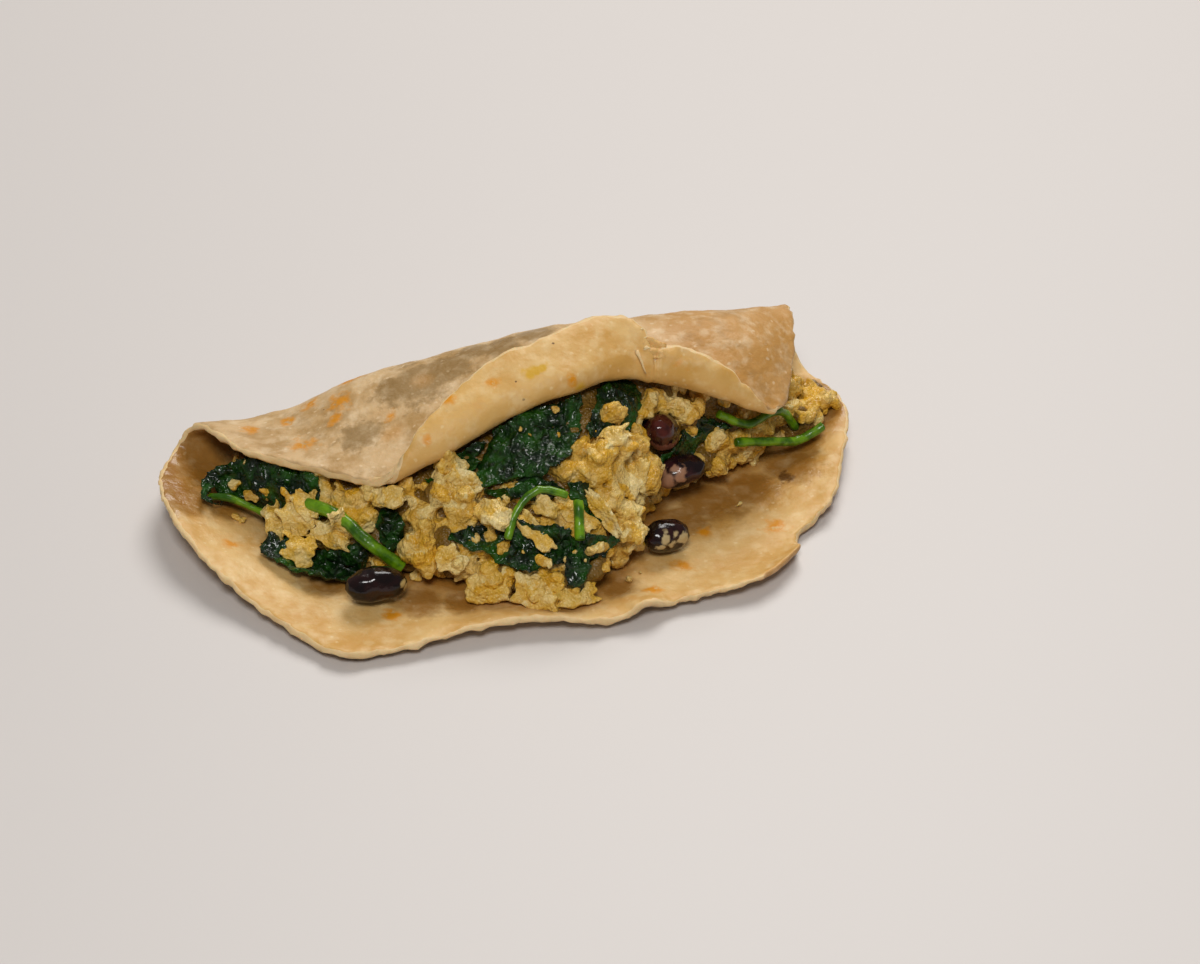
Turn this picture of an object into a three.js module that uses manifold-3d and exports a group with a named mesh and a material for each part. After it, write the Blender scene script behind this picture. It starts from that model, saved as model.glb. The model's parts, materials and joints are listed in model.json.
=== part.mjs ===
// A breakfast taco: one soft flour tortilla folded over a heap of scrambled egg, wilted spinach
// and black beans. Millimetres, +Z up. The fold runs along X, the open side looks toward -Y, and
// the middle of the tortilla's underside lies flat on Z = 0. The pieces are laid out about the
// middle of the bottom sheet, and the whole is then moved so that its origin is under the centre
// of its outline.

import * as THREE from 'three';
import { mergeVertices } from 'three/addons/utils/BufferGeometryUtils.js';
import Module from 'manifold-3d';

const wasm = await Module();
wasm.setup();

// Driving dimensions.
const tortillaThickness = 2.1;
const touchGap = 0.6;
const smallestStep = 0.2;
const eggStep = 0.3;
const fillingStep = 0.08;
const lipRadius = 3;
const leafThickness = 0.9;
const leafPitch = 48;
const curdRadius = [3.2, 5.4];
const curdPitch = 8;
const mostCut = 0.12;
const tortillaColumns = 37;
const tortillaRows = 30;

// Outline of the flat tortilla as four curves that meet at its blunt corners. X runs along the
// fold and S across it, with S = Y on the bottom sheet. The far curve dips at the tear in the flap.
const nearOutline = [
  [-54, -64.5],
  [-41, -65],
  [-26, -62.5],
  [-8, -61.5],
  [7, -64],
  [17, -62],
  [23, -60],
  [29, -59],
  [35, -58.5],
  [47, -56],
  [58, -46.5],
];
const farOutline = [
  [-54, 60],
  [-40, 75.5],
  [-26, 91],
  [-8, 97.5],
  [10, 95.5],
  [21, 90.5],
  [27.5, 88],
  [29, 79.5],
  [31, 84],
  [38, 89],
  [47, 92],
  [56, 86],
  [63, 77],
];
const leftOutline = [
  [-54, -64.5],
  [-66, -50],
  [-75.5, -36],
  [-83, -20],
  [-85.5, -5],
  [-82.5, 6],
  [-76, 18],
  [-67, 42],
  [-54, 60],
];
const rightOutline = [
  [58, -46.5],
  [59.5, -39],
  [70, -30.5],
  [78, -14],
  [83.5, 4],
  [76.5, 23],
  [73, 36],
  [70.5, 54],
  [63, 76],
];

// Cross-sections of the fold: x, y where the back bend starts, bend radius, rise of the roof
// toward the front in degrees, s of the lip line, rise of the turned-back flap in degrees.
const foldStations = [
  [-88, 6, 6, 20, 77, 70],
  [-68, 8, 6, 16, 77, 70],
  [-53, 10.5, 7.2, 8, 77, 60],
  [-40, 7.5, 10.5, -2, 76, 50],
  [-25, 5, 13, 0, 77.5, 27],
  [-10, 3, 15.4, 0, 77, 22],
  [5, 0.5, 17.3, 0, 76, 20],
  [20, 1, 17.3, -3, 70.5, 24],
  [32, 1.5, 17.3, -12, 71.5, 42],
  [45, 3, 17.2, -20, 78.5, 52],
  [58, 5, 16, -38, 78.5, 65],
  [70, 12, 12.5, -25, 77, 75],
  [86, 14, 11, -15, 77, 75],
];

// The heap of filling: x, y of its foot, s where it meets the roof, fullness of its open face.
const heapStations = [
  [-66, -5, 32, 1.5],
  [-58, -20, 44, 1.5],
  [-45, -34, 58, 1.5],
  [-30, -39, 70, 1.5],
  [-15, -48, 72, 1.4],
  [0, -51, 72, 1.4],
  [10, -49, 70, 1.5],
  [18, -37, 66, 1.7],
  [25, -25, 63, 1.9],
  [40, -14.5, 67, 1.9],
  [55, -9.5, 68, 1.9],
  [66, -7, 30, 1.6],
  [75, -4, 10, 1.4],
];

function seededRandom(seed) {
  let state = seed;
  return () => {
    state = (state * 1664525 + 1013904223) % 4294967296;
    return state / 4294967296;
  };
}

// Smooth curve through table rows, giving every column's value at x.
function stationCurve(rows) {
  const width = rows[0].length - 1;
  const values = rows.flatMap((row) => row.slice(1));
  const curve = new THREE.CubicInterpolant(rows.map((row) => row[0]), values, width);
  const first = rows[0][0];
  const last = rows[rows.length - 1][0];
  return (x) => Array.from(curve.evaluate(THREE.MathUtils.clamp(x, first, last)));
}

const foldAt = stationCurve(foldStations);
const heapAt = stationCurve(heapStations);

// Both ends of the bottom sheet curl up off the ground; the middle stays flat.
function endLift(x) {
  const left = THREE.MathUtils.clamp((-46 - x) / 42, 0, 1);
  const right = THREE.MathUtils.clamp((x - 50) / 36, 0, 1);
  return 10.5 * left * left + 8 * right * right;
}

// The near edge waves gently, with one small pleat.
function nearEdgeLift(x, inset) {
  const fade = THREE.MathUtils.clamp(1 - inset / 15, 0, 1);
  const pleat = 3 * Math.exp(-(((x - 17) / 4) ** 2));
  return (2.2 + 1.2 * Math.sin(x / 10 + 3) + pleat) * fade * fade;
}

// Walk along a chain of arcs and straights in the YZ plane. Each leg is a length and a turn.
function walk(y, z, heading, legs, distance) {
  let left = distance;
  for (const [length, turn] of legs) {
    const step = Math.min(left, length);
    if (step <= 0) {
      break;
    }
    const swing = (turn * step) / length;
    const chord = swing === 0 ? step : ((2 * step) / swing) * Math.sin(swing / 2);
    y += chord * Math.cos(heading + swing / 2);
    z += chord * Math.sin(heading + swing / 2);
    heading += swing;
    left -= step;
  }
  return { y, z, heading };
}

// Middle surface of the folded sheet at flat position (x, s).
function foldSection(x, s) {
  const [bendStart, bendRadius, roofRise, lipS, flapRise] = foldAt(x);
  if (s <= bendStart) {
    return { y: s, z: tortillaThickness / 2 + endLift(x), heading: 0 };
  }
  const bendTurn = Math.PI - THREE.MathUtils.degToRad(roofRise);
  const bendLength = bendTurn * bendRadius;
  const lipTurn = bendTurn - THREE.MathUtils.degToRad(flapRise);
  const legs = [
    [bendLength, bendTurn],
    [Math.max(lipS - bendStart - bendLength, 0.1), 0],
    [lipRadius * lipTurn, -lipTurn],
    [1000, 0],
  ];
  return walk(bendStart, tortillaThickness / 2 + endLift(x), 0, legs, s - bendStart);
}

// Soft hollows and bulges of the roof, none on the part that lies flat.
function roofRelief(x, s) {
  const fade = THREE.MathUtils.smoothstep(s, 20, 45);
  const waves = Math.sin(x / 9 + s / 17) + 0.7 * Math.sin(x / 5.3 - s / 9 + 2);
  return 0.45 * fade * waves;
}

function sheetPoint(x, s, inset) {
  const { y, z, heading } = foldSection(x, s);
  const relief = roofRelief(x, s);
  const raised = z + nearEdgeLift(x, inset);
  return new THREE.Vector3(x, y - Math.sin(heading) * relief, raised + Math.cos(heading) * relief);
}

// A closed thin sheet over a grid. Each square is split along its shorter diagonal, and both faces
// are split alike.
function sheetGeometry(columns, rows, place) {
  const positions = [];
  const faces = [];
  const stride = rows + 1;
  const layer = (columns + 1) * stride;
  for (const side of [1, -1]) {
    for (let i = 0; i <= columns; i += 1) {
      for (let j = 0; j <= rows; j += 1) {
        positions.push(...place(i / columns, j / rows, side).toArray());
      }
    }
  }
  const pointAt = (index) => new THREE.Vector3().fromArray(positions, index * 3);
  const span = (a, b) => pointAt(a).distanceTo(pointAt(b));
  const quad = (a, b, c, d) => faces.push(a, b, c, a, c, d);
  for (let i = 0; i < columns; i += 1) {
    for (let j = 0; j < rows; j += 1) {
      const corners = [0, stride, stride + 1, 1].map((step) => i * stride + j + step);
      const [a, b, c, d] = corners;
      const split = span(a, c) <= span(b, d) ? [a, b, c, a, c, d] : [a, b, d, b, c, d];
      faces.push(...split);
      faces.push(...split.map((index) => index + layer).reverse());
    }
  }
  for (let i = 0; i < columns; i += 1) {
    const near = i * stride;
    const far = near + rows;
    quad(near, near + layer, near + stride + layer, near + stride);
    quad(far, far + stride, far + stride + layer, far + layer);
  }
  for (let j = 0; j < rows; j += 1) {
    const start = j;
    const end = columns * stride + j;
    quad(start, start + 1, start + 1 + layer, start + layer);
    quad(end, end + layer, end + 1 + layer, end + 1);
  }
  const geometry = new THREE.BufferGeometry();
  geometry.setAttribute('position', new THREE.Float32BufferAttribute(positions, 3));
  geometry.setIndex(faces);
  return mergeVertices(geometry, 1e-4);
}

// A closed body through rings of points, with a centre point at each end.
function loftGeometry(rings) {
  const positions = rings.flat().flatMap((point) => point.toArray());
  const faces = [];
  const count = rings[0].length;
  for (let i = 0; i + 1 < rings.length; i += 1) {
    for (let j = 0; j < count; j += 1) {
      const a = i * count + j;
      const b = i * count + ((j + 1) % count);
      faces.push(a, b, b + count, a, b + count, a + count);
    }
  }
  const ends = [[0, 1], [rings.length - 1, -1]];
  for (const [index, way] of ends) {
    const centre = positions.length / 3;
    const middle = new THREE.Vector3();
    rings[index].forEach((point) => middle.addScaledVector(point, 1 / count));
    positions.push(...middle.toArray());
    for (let j = 0; j < count; j += 1) {
      const a = index * count + j;
      const b = index * count + ((j + 1) % count);
      faces.push(centre, way > 0 ? b : a, way > 0 ? a : b);
    }
  }
  const geometry = new THREE.BufferGeometry();
  geometry.setAttribute('position', new THREE.Float32BufferAttribute(positions, 3));
  geometry.setIndex(faces);
  return geometry;
}

function solidFrom(source) {
  const geometry = source.clone();
  geometry.deleteAttribute('normal');
  geometry.deleteAttribute('uv');
  const merged = mergeVertices(geometry, 1e-4);
  const vertProperties = new Float32Array(merged.attributes.position.array);
  const triVerts = new Uint32Array(merged.index.array);
  return new wasm.Manifold(new wasm.Mesh({ numProp: 3, vertProperties, triVerts }));
}

// The largest single body of a solid, as geometry.
function geometryFrom(solid, step) {
  const bodies = solid.simplify(step).decompose();
  bodies.sort((a, b) => b.volume() - a.volume());
  const mesh = bodies[0].getMesh();
  const geometry = new THREE.BufferGeometry();
  geometry.setAttribute('position', new THREE.Float32BufferAttribute(mesh.vertProperties, 3));
  geometry.setIndex(Array.from(mesh.triVerts));
  return geometry;
}

// The tortilla.

const outlineCurve = (points) =>
  new THREE.CatmullRomCurve3(
    points.map(([x, s]) => new THREE.Vector3(x, s, 0)),
    false,
    'centripetal',
  );
const nearEdge = outlineCurve(nearOutline);
const farEdge = outlineCurve(farOutline);
const leftEdge = outlineCurve(leftOutline);
const rightEdge = outlineCurve(rightOutline);

// Rows crowd together where the sheet turns back at the lip.
function rowFraction(v, x, nearS, farS) {
  const steps = 80;
  const lipS = foldAt(x)[3];
  const weights = [];
  for (let i = 0; i < steps; i += 1) {
    const s = THREE.MathUtils.lerp(nearS, farS, (i + 0.5) / steps);
    weights.push(1 + 1.6 * Math.exp(-(((s - lipS - 4) / 6) ** 2)));
  }
  const total = weights.reduce((sum, weight) => sum + weight, 0);
  let passed = 0;
  for (let i = 0; i < steps; i += 1) {
    if (passed + weights[i] >= v * total) {
      return (i + (v * total - passed) / weights[i]) / steps;
    }
    passed += weights[i];
  }
  return 1;
}

// Flat point of the patch between the four outline curves, u along the fold and w across it.
function flatPoint(u, w) {
  const near = nearEdge.getPoint(u);
  const far = farEdge.getPoint(u);
  const left = leftEdge.getPoint(w);
  const right = rightEdge.getPoint(w);
  const corners = nearEdge.getPoint(0).lerp(farEdge.getPoint(0), w);
  corners.lerp(nearEdge.getPoint(1).lerp(farEdge.getPoint(1), w), u);
  return near.lerp(far, w).add(left.lerp(right, u)).sub(corners);
}

function tortillaPlace(thickness) {
  return (u, v, side) => {
    const near = nearEdge.getPoint(u).y;
    const far = farEdge.getPoint(u);
    const across = rowFraction(v, far.x, near, far.y);
    const { x, y: s } = flatPoint(u, across);
    const inset = across * (far.y - near);
    const step = 0.2;
    const alongX = sheetPoint(x + step, s, inset).sub(sheetPoint(x - step, s, inset));
    const alongS = sheetPoint(x, s + step, inset + step).sub(sheetPoint(x, s - step, inset - step));
    const normal = alongX.cross(alongS).normalize();
    return sheetPoint(x, s, inset).addScaledVector(normal, (side * thickness) / 2);
  };
}

// The heap of filling, as cross-sections that fill the fold and slope down at the open side.

const heapLeft = heapStations[0][0];
const heapRight = heapStations[heapStations.length - 1][0];

function insideFold(x, s, gap) {
  const { y, z, heading } = foldSection(x, s);
  const away = tortillaThickness / 2 + gap;
  return new THREE.Vector2(y - Math.sin(heading) * away, z + Math.cos(heading) * away);
}

// Point of the heap's open face: t runs from 0 at the foot to 1 under the roof.
function facePoint(x, t) {
  const [footY, crownS, fullness] = heapAt(x);
  const foot = insideFold(x, footY, 0.6);
  const crown = insideFold(x, crownS, 0.9);
  const angle = (THREE.MathUtils.clamp(t, 0, 1) * Math.PI) / 2;
  const y = crown.x + (foot.x - crown.x) * Math.cos(angle) ** (2 / fullness);
  const z = foot.y + (crown.y - foot.y) * Math.sin(angle) ** (2 / fullness);
  return new THREE.Vector3(x, t < 0 ? foot.x + t * 30 : y, z);
}

// A point standing off the open face by a height, along the face's own normal.
function drape(x, t, height) {
  const alongX = facePoint(x + 1, t).sub(facePoint(x - 1, t));
  const alongT = facePoint(x, t + 0.02).sub(facePoint(x, t - 0.02));
  const normal = alongX.cross(alongT).normalize();
  return facePoint(x, t).addScaledVector(normal, height);
}

// Crumbly egg surface: rounded bumps with creases between them, flat at the foot and the crown.
function crumble(x, t) {
  const across = (Math.PI * (x + 2.2 * Math.sin(t * 11))) / curdPitch;
  const up = (Math.PI * (t * leafPitch + 2 * Math.sin(x / 4.7))) / curdPitch;
  const bump = Math.sqrt(Math.abs(Math.sin(across) * Math.sin(up)));
  return (2.4 * bump - 0.9) * Math.sin(Math.PI * t) ** 0.5;
}

function heapCore() {
  const stations = 42;
  const faceSteps = 11;
  const rings = [];
  for (let i = 0; i <= stations; i += 1) {
    const share = i / stations;
    const x = THREE.MathUtils.lerp(heapLeft, heapRight, share);
    const [footY, crownS] = heapAt(x);
    const ring = [];
    for (let j = 0; j < 9; j += 1) {
      const inner = insideFold(x, THREE.MathUtils.lerp(footY, crownS, j / 8), 0.9);
      ring.push(new THREE.Vector3(x, inner.x, inner.y));
    }
    for (let j = 1; j < faceSteps; j += 1) {
      const t = 1 - j / faceSteps;
      ring.push(drape(x, t, crumble(x, t)));
    }
    const fullSize = Math.min(1, 0.45 + 0.55 * Math.min(share, 1 - share) * 8);
    const middle = new THREE.Vector3();
    ring.forEach((point) => middle.addScaledVector(point, 1 / ring.length));
    rings.push(ring.map((point) => point.lerp(middle, 1 - fullSize)));
  }
  return solidFrom(loftGeometry(rings));
}

// Places on the open face are written as [x, t].

// Wilted spinach leaves: base, tip, width, height off the face, and a phase for the wrinkles.
const leaves = [
  { base: [-52, 0.84], tip: [-75, -0.2], width: 22, lift: 1.7, phase: 0.4 },
  { base: [-42, 0.3], tip: [-65, -0.74], width: 13, lift: 2, phase: 1.9 },
  { base: [10, 0.82], tip: [-16, 0.62], width: 17, lift: 2.4, phase: 3.1 },
  { base: [3, 0.49], tip: [-15, 0.56], width: 5, lift: 2.6, phase: 4.4 },
  { base: [26, 0.76], tip: [10, 0.66], width: 15, lift: 1.8, phase: 5.2 },
  { base: [4, 0.5], tip: [11, 0.34], width: 6, lift: 1.8, phase: 0.9 },
  { base: [-23, 0.38], tip: [12, 0.23], width: 9.5, lift: 4, phase: 2.6 },
  { base: [3, 0.3], tip: [2, 0], width: 5, lift: 6, phase: 3.7 },
  { base: [27, 0.24], tip: [49, 0.38], width: 8.5, lift: 2, phase: 5.9 },
  { base: [-36, 0.56], tip: [-36, 0.26], width: 7, lift: 1.6, phase: 4.9 },
  { base: [-27, 0.66], tip: [-11, 0.76], width: 7, lift: 1.2, phase: 2.2 },
];

// Spinach stems: radius, then [x, t, height off the face] along each.
const stems = [
  { radius: 1.6, route: [[-52, 0.5, 3], [-46, 0.47, 4], [-40, 0.3, 4.6], [-34.5, -0.08, 3.4]] },
  { radius: 1, route: [[-11, 0.34, 6.5], [-8, 0.45, 6], [-3, 0.5, 6.5], [3, 0.46, 5.5]] },
  { radius: 1.3, route: [[5, 0.44, 4.2], [4, 0.3, 6.6]] },
  { radius: 1.2, route: [[49, 0.26, 4], [58, 0.18, 5], [66, 0.1, 4.6], [75, -0.16, 4]] },
  { radius: 1.1, route: [[45, 0.46, 3], [52, 0.38, 3.6], [60, 0.32, 3.6], [66, 0.22, 3]] },
  { radius: 0.9, route: [[-74.5, 0.1, 3.6], [-71, -0.2, 3.6], [-64, -0.24, 4], [-58, -0.06, 4.6]] },
];

// Black beans: centre, half sizes and turns about X, Y and Z in degrees.
const beans = [
  { centre: [-42, -46.5, 7.2], half: [7.4, 4.8, 4.3], turn: [8, 0, 2] },
  { centre: [27, -40.5, 6.9], half: [6, 4.6, 4.1], turn: [0, 6, 14] },
  { centre: [30.5, -20.5, 22], half: [6.2, 4.8, 4.4], turn: [-38, 18, 62] },
  { centre: [34.5, -23.5, 12], half: [6.6, 4.4, 3.4], turn: [34, -8, 10] },
];

// Egg lumps beyond the right end of the heap: centre and radius.
const endLumps = [
  [73, 0, 7.6, 3.8],
  [78.2, 3.5, 8, 3.4],
  [76, 8, 8.4, 3.2],
  [73.8, 4, 7.6, 3.8],
];

function leafPlace(leaf, thickness, margin) {
  const [baseX, baseT] = leaf.base;
  const runX = leaf.tip[0] - baseX;
  const runT = (leaf.tip[1] - baseT) * leafPitch;
  const length = Math.hypot(runX, runT);
  return (u, v, side) => {
    const along = v * length + (2 * v - 1) * margin;
    const half = (leaf.width / 2) * (0.16 + 0.84 * Math.sin(Math.PI * v ** 0.8)) + margin;
    const across = (1 - 2 * u) * half;
    const x = baseX + (runX * along - runT * across) / length;
    const t = baseT + (runT * along + runX * across) / length / leafPitch;
    const down = along / length;
    const aside = across / leaf.width;
    const ripple = 0.8 * Math.sin(down * 8 + leaf.phase);
    const twist = 0.6 * Math.sin(aside * 6 + down * 4 + leaf.phase);
    const fold = 2.2 * Math.abs(aside) * Math.sin(down * 5 + leaf.phase * 2);
    return drape(x, t, leaf.lift + ripple + twist + fold + (side * thickness) / 2);
  };
}

const leafSolid = (leaf, thickness, margin) =>
  solidFrom(sheetGeometry(4, 7, leafPlace(leaf, thickness, margin)));

function stemSolid(stem, margin) {
  const route = new THREE.CatmullRomCurve3(stem.route.map((place) => drape(...place)));
  const section = new THREE.Shape().absarc(0, 0, stem.radius + margin, 0, 2 * Math.PI);
  const shape = new THREE.Shape(section.getPoints(4).slice(0, -1));
  return solidFrom(
    new THREE.ExtrudeGeometry(shape, { steps: 9, extrudePath: route, bevelEnabled: false }),
  );
}

// A bean is an ellipsoid with a flatter, slightly hollow side.
function beanSolid(bean, margin) {
  const geometry = new THREE.SphereGeometry(1, 12, 8);
  const [halfX, halfY, halfZ] = bean.half.map((size) => size + margin);
  const position = geometry.attributes.position;
  for (let i = 0; i < position.count; i += 1) {
    const x = position.getX(i);
    const y = position.getY(i);
    const bow = y < 0 ? 0.28 * (1 - x * x) * -y : 0;
    position.setXYZ(i, x * halfX, (y + bow) * halfY, position.getZ(i) * halfZ);
  }
  const turn = new THREE.Euler(...bean.turn.map(THREE.MathUtils.degToRad));
  geometry.applyMatrix4(new THREE.Matrix4().makeRotationFromEuler(turn));
  geometry.translate(...bean.centre);
  return solidFrom(geometry);
}

// A lump of egg is a rough ball with few sides.
function lumpSolid(centre, radius, random) {
  const geometry = mergeVertices(new THREE.IcosahedronGeometry(radius, 0).deleteAttribute('uv')
    .deleteAttribute('normal'), 1e-3);
  const position = geometry.attributes.position;
  const spin = new THREE.Euler(random() * 6, random() * 6, random() * 6);
  const stretch = new THREE.Vector3(1.15, 0.95, 0.8 + 0.2 * random());
  for (let i = 0; i < position.count; i += 1) {
    const point = new THREE.Vector3().fromBufferAttribute(position, i);
    point.multiplyScalar(0.84 + 0.32 * random()).multiply(stretch).applyEuler(spin).add(centre);
    position.setXYZ(i, point.x, point.y, point.z);
  }
  return solidFrom(geometry);
}

// Scrambled egg: the core with lumps fused over its open face, where the other fillings leave room.
function eggSolid(others) {
  const random = seededRandom(11);
  let egg = heapCore();
  for (let x = heapLeft + 2; x < heapRight; x += curdPitch) {
    const faceLength = facePoint(x, 0).distanceTo(facePoint(x, 1));
    const lumps = Math.max(2, Math.round(faceLength / curdPitch));
    for (let i = 0; i <= lumps; i += 1) {
      const t = THREE.MathUtils.clamp((i + 0.9 * random() - 0.45) / lumps, -0.05, 0.9);
      const radius = THREE.MathUtils.lerp(...curdRadius, random());
      const height = radius * 0.3 * (1 - t * t);
      const centre = drape(x + (random() - 0.5) * curdPitch, t, height);
      const lump = lumpSolid(centre, radius, random);
      if (lump.intersect(others).volume() < mostCut * lump.volume()) {
        egg = egg.add(lump);
      }
    }
  }
  for (const [x, y, z, radius] of endLumps) {
    egg = egg.add(lumpSolid(new THREE.Vector3(x, y, z), radius, random));
  }
  return egg.subtract(others);
}

const material = (colour, roughness) =>
  new THREE.MeshStandardMaterial({ color: colour, roughness, metalness: 0 });

const taco = new THREE.Group();

function addPiece(name, geometry, look) {
  const mesh = new THREE.Mesh(geometry, look);
  mesh.name = name;
  taco.add(mesh);
}

const tortillaSheet = (thickness) =>
  sheetGeometry(tortillaColumns, tortillaRows, tortillaPlace(thickness));

addPiece('tortilla', tortillaSheet(tortillaThickness), material('#cfae82', 0.6));

// Each filling keeps clear of the tortilla and of the fillings before it.
let taken = solidFrom(tortillaSheet(tortillaThickness + 2 * touchGap)).simplify(smallestStep);

function addFilling(name, solid, room, look) {
  addPiece(name, geometryFrom(solid.subtract(taken), fillingStep), look);
  taken = taken.add(room);
}

beans.forEach((bean, index) => {
  const look = material('#2b1a1f', 0.3);
  addFilling(`black_bean_${index + 1}`, beanSolid(bean, 0), beanSolid(bean, touchGap), look);
});
stems.forEach((stem, index) => {
  const look = material('#4c8a2c', 0.3);
  addFilling(`spinach_stem_${index + 1}`, stemSolid(stem, 0), stemSolid(stem, touchGap), look);
});
leaves.forEach((leaf, index) => {
  const room = leafSolid(leaf, leafThickness + 2 * touchGap, touchGap);
  const look = material('#1d3a1e', 0.3);
  addFilling(`spinach_leaf_${index + 1}`, leafSolid(leaf, leafThickness, 0), room, look);
});
addPiece('scrambled_egg', geometryFrom(eggSolid(taken), eggStep), material('#d9c06a', 0.5));

const outline = new THREE.Box3().setFromObject(taco);
const middle = outline.getCenter(new THREE.Vector3());
taco.position.set(-middle.x, -middle.y, -outline.min.z);

export default taco;
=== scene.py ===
import json
import math
import random

import bpy
from mathutils import Euler, Matrix, Quaternion, Vector, noise
from mathutils.bvhtree import BVHTree

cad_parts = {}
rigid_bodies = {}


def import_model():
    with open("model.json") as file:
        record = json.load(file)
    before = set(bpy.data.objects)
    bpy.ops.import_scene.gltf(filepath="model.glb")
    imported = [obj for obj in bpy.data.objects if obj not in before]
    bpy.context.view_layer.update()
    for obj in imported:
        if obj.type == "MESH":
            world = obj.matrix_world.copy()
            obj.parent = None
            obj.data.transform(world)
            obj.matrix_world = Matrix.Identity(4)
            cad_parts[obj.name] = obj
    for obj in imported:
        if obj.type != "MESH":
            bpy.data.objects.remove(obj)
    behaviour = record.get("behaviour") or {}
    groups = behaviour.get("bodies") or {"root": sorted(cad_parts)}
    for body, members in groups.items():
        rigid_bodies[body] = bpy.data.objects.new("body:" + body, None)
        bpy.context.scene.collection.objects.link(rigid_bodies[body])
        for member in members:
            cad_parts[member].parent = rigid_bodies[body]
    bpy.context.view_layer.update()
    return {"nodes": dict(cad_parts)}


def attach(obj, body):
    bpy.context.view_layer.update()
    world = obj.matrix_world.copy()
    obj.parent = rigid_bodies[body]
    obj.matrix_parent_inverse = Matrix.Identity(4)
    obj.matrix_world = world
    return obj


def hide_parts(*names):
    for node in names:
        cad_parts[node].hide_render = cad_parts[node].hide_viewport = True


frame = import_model()
mm = 0.001
collection = bpy.context.scene.collection


# Small helpers for objects, modifiers and materials.

def pick(piece, mode="OBJECT"):
    if bpy.context.object and bpy.context.object.mode != "OBJECT":
        bpy.ops.object.mode_set(mode="OBJECT")
    bpy.ops.object.select_all(action="DESELECT")
    piece.select_set(True)
    bpy.context.view_layer.objects.active = piece
    if mode != "OBJECT":
        bpy.ops.object.mode_set(mode=mode)


def modify(piece, kind, **values):
    pick(piece)
    modifier = piece.modifiers.new(kind.lower(), kind)
    for key, value in values.items():
        setattr(modifier, key, value)
    bpy.ops.object.modifier_apply(modifier=modifier.name)


def texture(kind, size, **values):
    made = bpy.data.textures.new(f"{kind.lower()}_{size}", kind)
    made.noise_scale = size * mm
    for key, value in values.items():
        setattr(made, key, value)
    return made


def push(piece, pattern, strength, direction="NORMAL", middle=0.5, group=""):
    modify(piece, "DISPLACE", texture=pattern, strength=strength * mm, direction=direction,
           mid_level=middle, vertex_group=group)


def copyOfNode(nodeName, pieceName):
    piece = bpy.data.objects.new(pieceName, frame["nodes"][nodeName].data.copy())
    collection.objects.link(piece)
    piece.data.materials.clear()
    pick(piece, "EDIT")
    bpy.ops.mesh.select_all(action="SELECT")
    bpy.ops.mesh.remove_doubles(threshold=0.01 * mm)
    bpy.ops.object.mode_set(mode="OBJECT")
    return piece


def duplicate(piece, place):
    twin = bpy.data.objects.new(piece.name, piece.data.copy())
    twin.data.transform(place)
    collection.objects.link(twin)
    return twin


def joined(pieces, name):
    pick(pieces[0])
    for piece in pieces:
        piece.select_set(True)
    bpy.ops.object.join()
    pieces[0].name = name
    return pieces[0]


def finishPiece(piece, material, slot, *nodes):
    pick(piece)
    bpy.ops.object.shade_smooth()
    if material:
        piece.data.materials.clear()
        piece.data.materials.append(material)
    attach(piece, "root")
    if nodes:
        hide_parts(*nodes)


def tree(piece):
    corners = [vertex.co for vertex in piece.data.vertices]
    return BVHTree.FromPolygons(corners, [face.vertices for face in piece.data.polygons])


def setAttribute(piece, name, values):
    layer = piece.data.attributes.new(name, "FLOAT", "POINT")
    layer.data.foreach_set("value", values)


# A linear colour from values of 0 to 255.
def tone(red, green, blue):
    linear = []
    for value in (red, green, blue):
        share = value / 255
        linear.append(((share + 0.055) / 1.055) ** 2.4 if value > 10 else share / 12.92)
    return (*linear, 1)


def wire(nodes, made, wires):
    for socket, value in wires.items():
        if isinstance(value, bpy.types.NodeSocket):
            nodes.links.new(value, made.inputs[socket])
        else:
            made.inputs[socket].default_value = value


def put(nodes, kind, wires, **settings):
    made = nodes.nodes.new("ShaderNode" + kind)
    for key, value in settings.items():
        setattr(made, key, value)
    wire(nodes, made, wires)
    return made


def mixColour(nodes, factor, low, high):
    return put(nodes, "Mix", {0: factor, 6: low, 7: high}, data_type="RGBA").outputs[2]


def math2(nodes, operation, first, second):
    return put(nodes, "Math", {0: first, 1: second}, operation=operation).outputs[0]


def band(nodes, value, low, high, start=0.0, end=1.0):
    wires = {0: value, 1: low, 2: high, 3: start, 4: end}
    return put(nodes, "MapRange", wires, interpolation_type="SMOOTHSTEP").outputs[0]


def noiseOf(nodes, vector, size, detail=3.0, roughness=0.55, distortion=0.0):
    wires = {"Vector": vector, "Scale": 1 / (size * mm), "Detail": detail, "Roughness": roughness}
    return put(nodes, "TexNoise", {**wires, "Distortion": distortion}).outputs[0]


def objectVector(nodes):
    return put(nodes, "TexCoord", {}).outputs["Object"]


def attribute(nodes, name):
    return put(nodes, "Attribute", {}, attribute_name=name).outputs["Fac"]


def startMaterial(name):
    material = bpy.data.materials.new(name)
    material.use_nodes = True
    material.node_tree.nodes.clear()
    return material, material.node_tree


def finishMaterial(nodes, colour, roughness, normal, **fixed):
    wires = {"Base Color": colour, "Roughness": roughness, "Normal": normal}
    shader = put(nodes, "BsdfPrincipled", wires)
    for key, value in fixed.items():
        shader.inputs[key.replace("_", " ")].default_value = value
    put(nodes, "OutputMaterial", {"Surface": shader.outputs[0]})


def bump(nodes, height, distance):
    wires = {"Height": height, "Distance": distance * mm, "Strength": 1.0}
    return put(nodes, "Bump", wires).outputs[0]


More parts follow.
